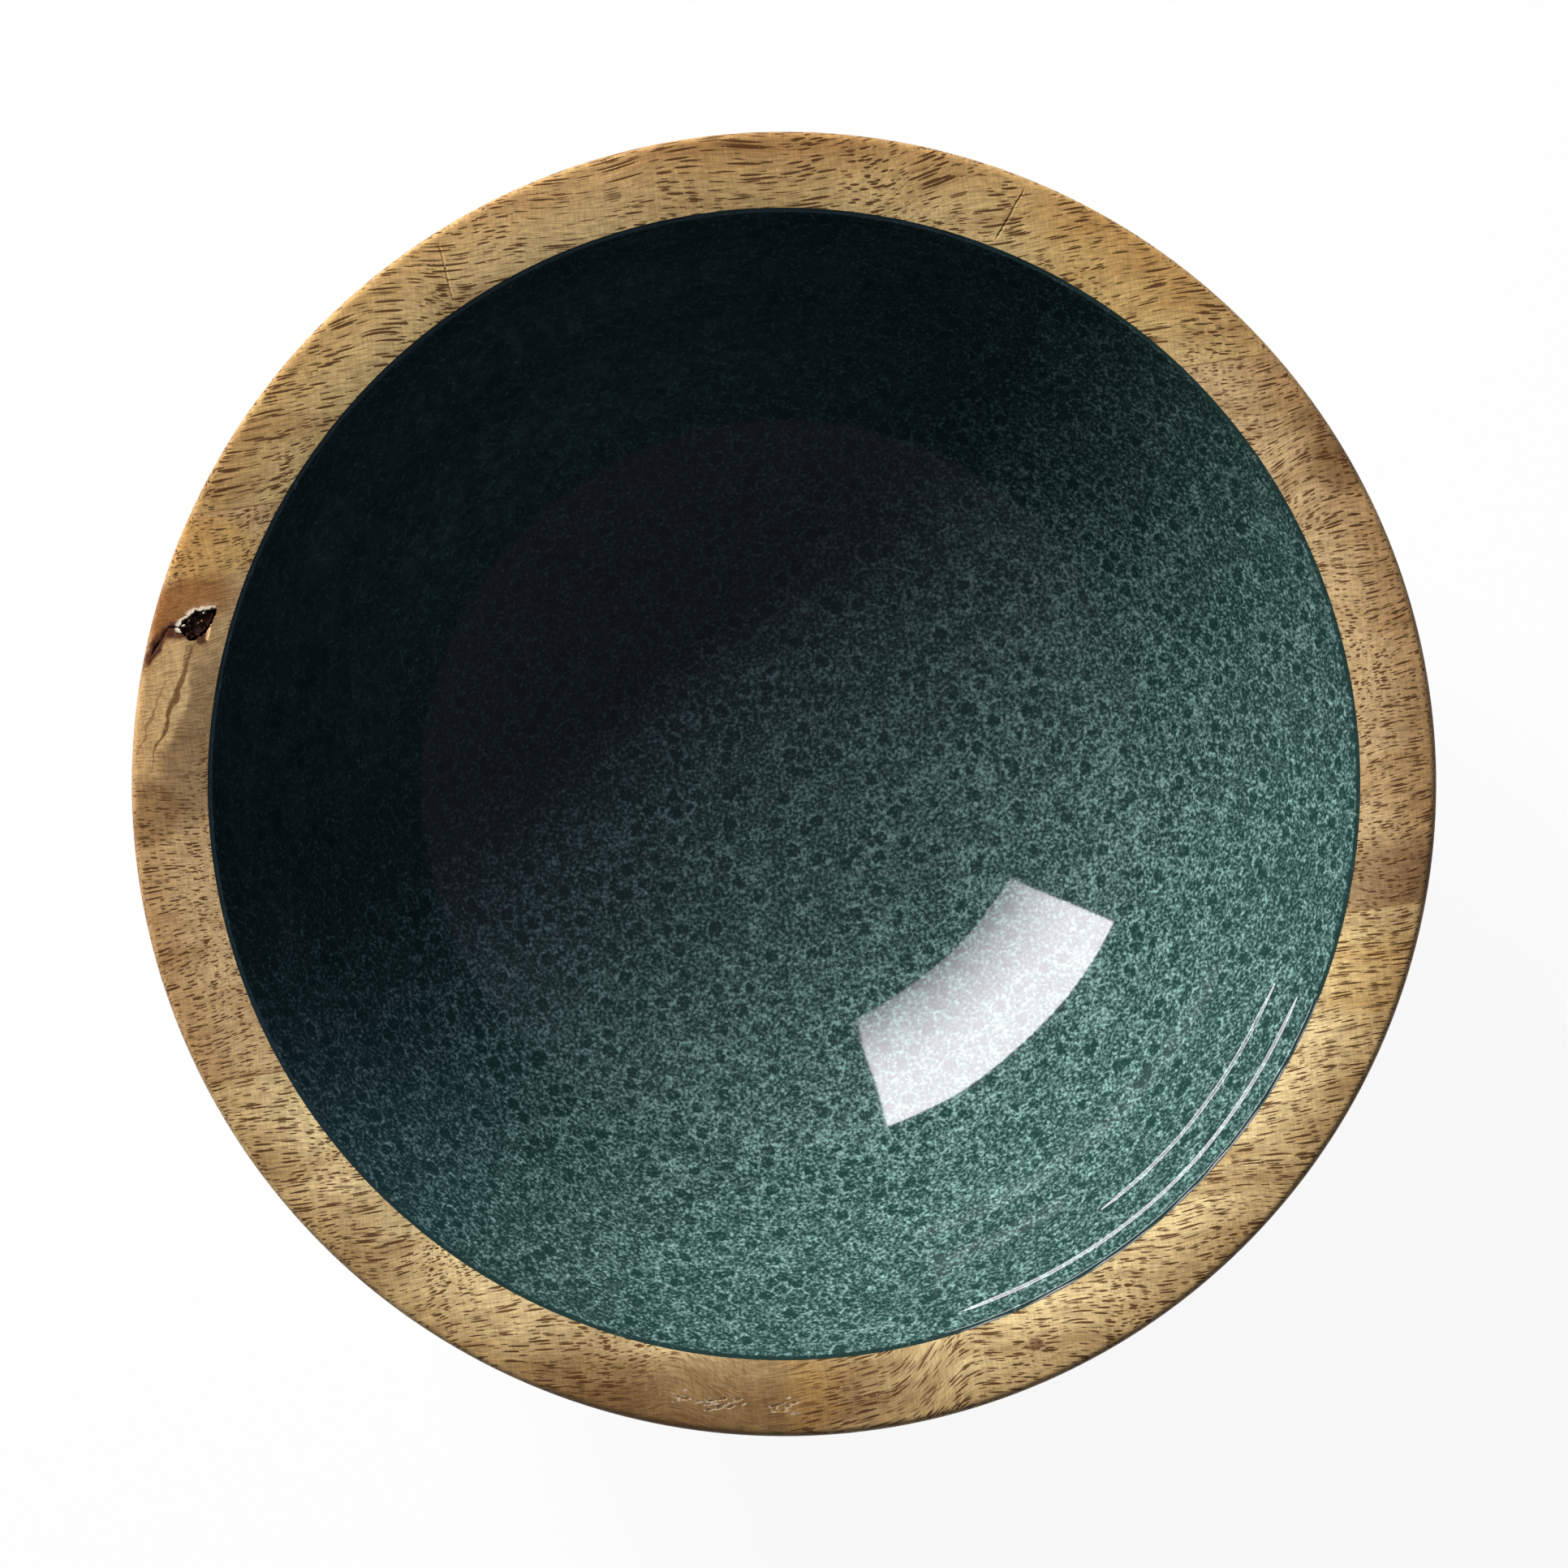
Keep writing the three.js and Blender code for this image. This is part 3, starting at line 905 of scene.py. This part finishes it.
class BOWL_OT_glue(bpy.types.Operator):
    """Make the two films of glue between the boards"""

    bl_idname = "bowl.glue"
    bl_label = "Glue lines"

    def execute(self, context):
        sizes = context.scene.bowl_sizes
        half_glue = sizes.glue_thickness / 2
        glue = cured_glue(context.scene.bowl_colours)
        body = spun(body_curve(sizes))
        for end, joint in (("rear", sizes.rear_joint), ("front", sizes.front_joint)):
            film = body.copy()
            keep_side(film, joint - half_glue, 1)
            keep_side(film, joint + half_glue, -1)
            make_piece(film, f"glue_film_{end}", f"{end}_glue_line", glue)
        body.free()
        return {"FINISHED"}


class BOWL_OT_bark(bpy.types.Operator):
    """Make the sliver of bark in its pocket"""

    bl_idname = "bowl.bark"
    bl_label = "Bark"

    def execute(self, context):
        sizes = context.scene.bowl_sizes
        half = sizes.pocket_length / 2 - 2 * sizes.bark_clearance
        bm = bmesh.new()
        bmesh.ops.create_grid(bm, x_segments=48, y_segments=18, size=1)
        for vert in bm.verts:
            along = half * vert.co.x if vert.co.x > 0 else sizes.bark_reach * vert.co.x
            across = vert.co.y * max(lens_width(sizes, along) - sizes.bark_clearance, 0)
            vert.co = (along, across, 0)
        bmesh.ops.remove_doubles(bm, verts=bm.verts, dist=0.02 * MM)
        top = bm.verts[:]
        sides = bmesh.ops.extrude_face_region(bm, geom=bm.faces[:], use_keep_orig=True)["geom"]
        low = [item for item in sides if isinstance(item, bmesh.types.BMVert)]
        thickness = sizes.pocket_depth - sizes.bark_sink - sizes.bark_clearance
        bmesh.ops.translate(bm, verts=low, vec=(0, 0, -thickness))
        for vert in top:
            large, small = (noise.noise(vert.co / (size * MM)) for size in BARK_WAVES)
            vert.co.z += BARK_CRUMB * MM * (large + 0.5 * small)
        place = Vector((sizes.pocket_x, sizes.pocket_y))
        height = rim_height(sizes, place.length) - sizes.bark_sink
        bmesh.ops.rotate(bm, verts=bm.verts, cent=(0, 0, 0), matrix=Matrix.Rotation(POCKET_TURN, 3, "Z"))
        bmesh.ops.translate(bm, verts=bm.verts, vec=(place.x, place.y, height))
        bmesh.ops.recalc_face_normals(bm, faces=bm.faces)
        bark = ingrown_bark(context.scene.bowl_colours)
        make_piece(bm, "bark_sliver", "bark_inclusion", bark)
        return {"FINISHED"}


class BOWL_OT_ground(bpy.types.Operator):
    """Make the ground coat on the bare hollow"""

    bl_idname = "bowl.ground"
    bl_label = "Ground coat"

    def execute(self, context):
        sizes = context.scene.bowl_sizes
        outer = [hollow_point(sizes, share, sizes.ground_start) for share in even_shares(1, BARE_STEPS)]
        inner = coat_back(sizes)
        coat = spun([*outer, *reversed(inner)])
        ground = brushed_ground(context.scene.bowl_colours)
        make_piece(coat, "ground_skin", "ground_coat", ground)
        return {"FINISHED"}


class BOWL_OT_enamel(bpy.types.Operator):
    """Make the gloss enamel lining"""

    bl_idname = "bowl.enamel"
    bl_label = "Gloss enamel"

    def execute(self, context):
        sizes = context.scene.bowl_sizes
        coat = spun(self.coat_curve(sizes))
        coat.normal_update()
        edge = hollow_radius(sizes) - sizes.lip_gap
        for vert in coat.verts:
            if vert.normal.z > 0:
                vert.co += vert.normal * self.run_height(vert.co)
            out = vert.co.xy.normalized()
            near_edge = ramp(vert.co.xy.length, edge - LIP_WAVE * MM, edge)
            long, short = (noise.noise(vert.co / (size * MM)) for size in LIP_WAVES)
            vert.co.xy += out * (long + 0.8 * short) * sizes.lip_wander * near_edge
        enamel = speckled_enamel(context.scene.bowl_colours)
        make_piece(coat, "enamel_lining", "gloss_enamel", enamel)
        return {"FINISHED"}

    def coat_curve(self, sizes):
        """The coat's back up to its lip, over the lip, and its face back to the axis."""
        top = sizes.enamel_start + sizes.enamel_thickness
        outer = coat_back(sizes)
        shares = sorted(even_shares(LIP_START, COAT_STEPS) + run_shares(sizes))
        inner = [coat_point(sizes, share, top) for share in shares]
        end = Vector((hollow_radius(sizes) - sizes.lip_gap, lip_height(sizes)))
        reach = (end - inner[-1]).length / 2
        wall = Vector((1, hollow_slope(sizes, LIP_START))).normalized()
        wall_handle = inner[-1] + LIP_EASE * reach * wall
        end_handle = end - LIP_ROLL * reach * climb(LIP_ANGLE)
        lip = geometry.interpolate_bezier(inner[-1], wall_handle, end_handle, end, LIP_STEPS)
        return [*outer, *reversed(lip), *reversed(inner[:-1])]

    def run_height(self, point):
        """How far the run lines stand up from the coat at a point."""
        radius = point.xy.length / MM
        bearing = math.degrees(math.atan2(point.y, point.x))
        height = 0
        for line in RUN_LINES:
            wander = RUN_WANDER * noise.noise(point / (RUN_WAVE * MM))
            rise = ramp(radius + wander, line.radius - line.rise, line.radius)
            fall = ramp(radius + wander, line.radius + line.fall, line.radius)
            starting = ramp(bearing, line.start, line.start + RUN_ENDS)
            ending = ramp(bearing, line.end, line.end - RUN_ENDS)
            height += line.height * MM * rise * fall * starting * ending
        return height


# The stage
PHOTO_SHARE = 0.832  # the bowl's share of the photograph's width
LENS = 110.0
SENSOR = 36.0
PHOTO_TURN = math.radians(-8.5)  # how the photograph is turned about the bowl's axis
SOFTBOX_DISTANCE = 4.0

# A panel of the softbox, as seen from the bowl: where it stands and its edges, in degrees
Panel = namedtuple("Panel", "bearing half_turn low high")
LIGHT_PANEL = Panel(119, 10, 10, 41)
LIGHT_RADIANCE = 44.5  # this much makes a level white face render as 1
FACE_PANEL = Panel(123.6, 25.2, 19.2, 58)
FACE_FOOT = 34.0  # radiance of the face at its foot and at its upper edge
FACE_HEAD = 8.2
FACE_TINT = "#fff9ff"  # the cloth of the face, a shade short of green
FACE_EVEN = 0.28  # share of the face, from its foot up, that is as bright as its foot
SURROUND = "#e0e2f6"
SURROUND_FILL = 0.04  # what the surround gives to matt faces and what gloss mirrors of it
SURROUND_MIRRORED = 0.31
HORIZON = 0.15  # the white backdrop ends at this sine of the elevation
FLOOR_RADIUS = 30.0
FLOOR_PAPER = "#ededed"
FLOOR_GLOW = 0.93  # share of the floor that shows white whatever falls on it


class BOWL_OT_stage(bpy.types.Operator):
    """Set up the floor, the softbox, the surround and the camera"""

    bl_idname = "bowl.stage"
    bl_label = "Stage"

    def execute(self, context):
        scene = context.scene
        scene.view_settings.view_transform = "Standard"
        self.make_floor(scene)
        self.make_light(scene)
        self.make_face(scene)
        self.make_surround(scene)
        self.make_camera(scene)
        return {"FINISHED"}

    def mirrored(self, tree, path):
        """Whether a ray left a mirror or glass."""
        glossy = path.outputs["Is Glossy Ray"]
        through = path.outputs["Is Transmission Ray"]
        return add(tree, "ShaderNodeMath", {0: glossy, 1: through}, operation="MAXIMUM")

    def make_floor(self, scene):
        """White paper floor that keeps a faint shadow."""
        bm = bmesh.new()
        bmesh.ops.create_circle(bm, cap_ends=True, radius=FLOOR_RADIUS, segments=64)
        mesh = bpy.data.meshes.new("studio_floor")
        bm.to_mesh(mesh)
        bm.free()
        material, tree = new_material("white_paper_floor")
        path = add(tree, "ShaderNodeLightPath").node
        camera = path.outputs["Is Camera Ray"]
        seen = add(tree, "ShaderNodeMath", {0: camera, 1: self.mirrored(tree, path)}, operation="MAXIMUM")
        share = add(tree, "ShaderNodeMath", {0: seen, 1: FLOOR_GLOW}, operation="MULTIPLY")
        paper = add(tree, "ShaderNodeBsdfDiffuse", {"Color": opaque(linear(FLOOR_PAPER))})
        white = add(tree, "ShaderNodeEmission", {"Color": (1, 1, 1, 1), "Strength": 1})
        shader = add(tree, "ShaderNodeMixShader", {0: share, 1: paper, 2: white})
        add(tree, "ShaderNodeOutputMaterial", {"Surface": shader})
        mesh.materials.append(material)
        floor = bpy.data.objects.new("studio_floor", mesh)
        scene.collection.objects.link(floor)

    def panel_place(self, panel):
        """Where an upright panel that faces the bowl stands: its width, height and placing."""
        low = SOFTBOX_DISTANCE * math.tan(math.radians(panel.low))
        high = SOFTBOX_DISTANCE * math.tan(math.radians(panel.high))
        width = 2 * SOFTBOX_DISTANCE * math.tan(math.radians(panel.half_turn))
        toward = climb(math.radians(panel.bearing)).to_3d()
        middle = toward * SOFTBOX_DISTANCE + Vector((0, 0, (low + high) / 2))
        turn = (-toward).to_track_quat("-Z", "Y").to_matrix().to_4x4()
        return width, high - low, Matrix.Translation(middle) @ turn

    def make_light(self, scene):
        """The part of the softbox that lights matt faces."""
        width, height, place = self.panel_place(LIGHT_PANEL)
        lamp = bpy.data.lights.new("softbox_light", "AREA")
        lamp.shape = "RECTANGLE"
        lamp.size = width
        lamp.size_y = height
        lamp.energy = math.pi * width * height * LIGHT_RADIANCE
        light = bpy.data.objects.new("softbox_light", lamp)
        light.matrix_world = place
        light.visible_camera = False
        light.visible_glossy = False
        scene.collection.objects.link(light)

    def make_face(self, scene):
        """The face of the softbox as gloss mirrors it, brightest at its foot."""
        width, height, place = self.panel_place(FACE_PANEL)
        bm = bmesh.new()
        bmesh.ops.create_grid(bm, x_segments=1, y_segments=1, size=0.5)
        bmesh.ops.scale(bm, verts=bm.verts, vec=(width, height, 1))
        bmesh.ops.transform(bm, verts=bm.verts, matrix=place)
        mesh = bpy.data.meshes.new("softbox_face")
        low = min(vert.co.z for vert in bm.verts)
        bm.to_mesh(mesh)
        bm.free()
        material, tree = new_material("softbox_cloth")
        material.cycles.emission_sampling = "NONE"
        point = add(tree, "ShaderNodeTexCoord").node.outputs["Object"]
        level = add(tree, "ShaderNodeSeparateXYZ", {"Vector": point}).node.outputs["Z"]
        strength = add(
            tree,
            "ShaderNodeMapRange",
            {
                "Value": level,
                "From Min": low + FACE_EVEN * height,
                "From Max": low + height,
                "To Min": FACE_FOOT,
                "To Max": FACE_HEAD,
            },
        )
        glow = add(tree, "ShaderNodeEmission", {"Color": opaque(linear(FACE_TINT)), "Strength": strength})
        add(tree, "ShaderNodeOutputMaterial", {"Surface": glow})
        mesh.materials.append(material)
        face = bpy.data.objects.new("softbox_face", mesh)
        face.visible_camera = False
        face.visible_diffuse = False
        face.visible_shadow = False
        scene.collection.objects.link(face)
        mirrors = bpy.data.collections.new("mirrors_of_the_softbox")
        mirrors.objects.link(bpy.data.objects["enamel_lining"])
        face.light_linking.receiver_collection = mirrors

    def make_surround(self, scene):
        """A dim studio overhead, with a white backdrop that the camera and mirrors see."""
        world = bpy.data.worlds.new("studio_surround")
        scene.world = world
        world.use_nodes = True
        tree = world.node_tree
        tree.nodes.clear()
        path = add(tree, "ShaderNodeLightPath").node
        direction = add(tree, "ShaderNodeTexCoord")
        height = add(tree, "ShaderNodeSeparateXYZ", {"Vector": direction}).node.outputs["Z"]
        low = add(tree, "ShaderNodeMath", {0: height, 1: HORIZON}, operation="LESS_THAN")
        backdrop = add(tree, "ShaderNodeMath", {0: self.mirrored(tree, path), 1: low}, operation="MULTIPLY")
        camera = path.outputs["Is Camera Ray"]
        seen = add(tree, "ShaderNodeMath", {0: camera, 1: backdrop}, operation="MAXIMUM")
        matt = path.outputs["Is Diffuse Ray"]
        strength = add(
            tree,
            "ShaderNodeMapRange",
            {"Value": matt, "To Min": SURROUND_MIRRORED, "To Max": SURROUND_FILL},
        )
        dim = add(tree, "ShaderNodeBackground", {"Color": opaque(linear(SURROUND)), "Strength": strength})
        white = add(tree, "ShaderNodeBackground", {"Color": (1, 1, 1, 1), "Strength": 1})
        shader = add(tree, "ShaderNodeMixShader", {0: seen, 1: dim, 2: white})
        add(tree, "ShaderNodeOutputWorld", {"Surface": shader})

    def make_camera(self, scene):
        """A camera straight above the bowl, turned as the photograph is."""
        sizes = scene.bowl_sizes
        view = bpy.data.cameras.new("photo_camera")
        view.lens = LENS
        view.sensor_width = SENSOR
        camera = bpy.data.objects.new("photo_camera", view)
        away = sizes.rim_diameter / PHOTO_SHARE * LENS / SENSOR
        camera.location = (0, 0, round_centre(sizes).y + away)
        camera.rotation_euler = (0, 0, PHOTO_TURN)
        scene.collection.objects.link(camera)
        scene.camera = camera


class BOWL_PT_panel(bpy.types.Panel):
    """Lists the makers of the bowl's pieces"""

    bl_label = "Lined mango bowl"
    bl_space_type = "VIEW_3D"
    bl_region_type = "UI"
    bl_category = "Bowl"

    def draw(self, context):
        for operator in OPERATORS:
            self.layout.operator(operator.bl_idname)


OPERATORS = (BOWL_OT_boards, BOWL_OT_glue, BOWL_OT_bark, BOWL_OT_ground, BOWL_OT_enamel, BOWL_OT_stage)
CLASSES = (BowlSizes, BowlColours, *OPERATORS, BOWL_PT_panel)


def register():
    for item in CLASSES:
        bpy.utils.register_class(item)
    bpy.types.Scene.bowl_sizes = PointerProperty(type=BowlSizes)
    bpy.types.Scene.bowl_colours = PointerProperty(type=BowlColours)


def unregister():
    del bpy.types.Scene.bowl_colours
    del bpy.types.Scene.bowl_sizes
    for item in reversed(CLASSES):
        bpy.utils.unregister_class(item)


def main():
    register()
    bpy.ops.bowl.boards()
    bpy.ops.bowl.glue()
    bpy.ops.bowl.bark()
    bpy.ops.bowl.ground()
    bpy.ops.bowl.enamel()
    bpy.ops.bowl.stage()


if __name__ == "__main__":
    main()
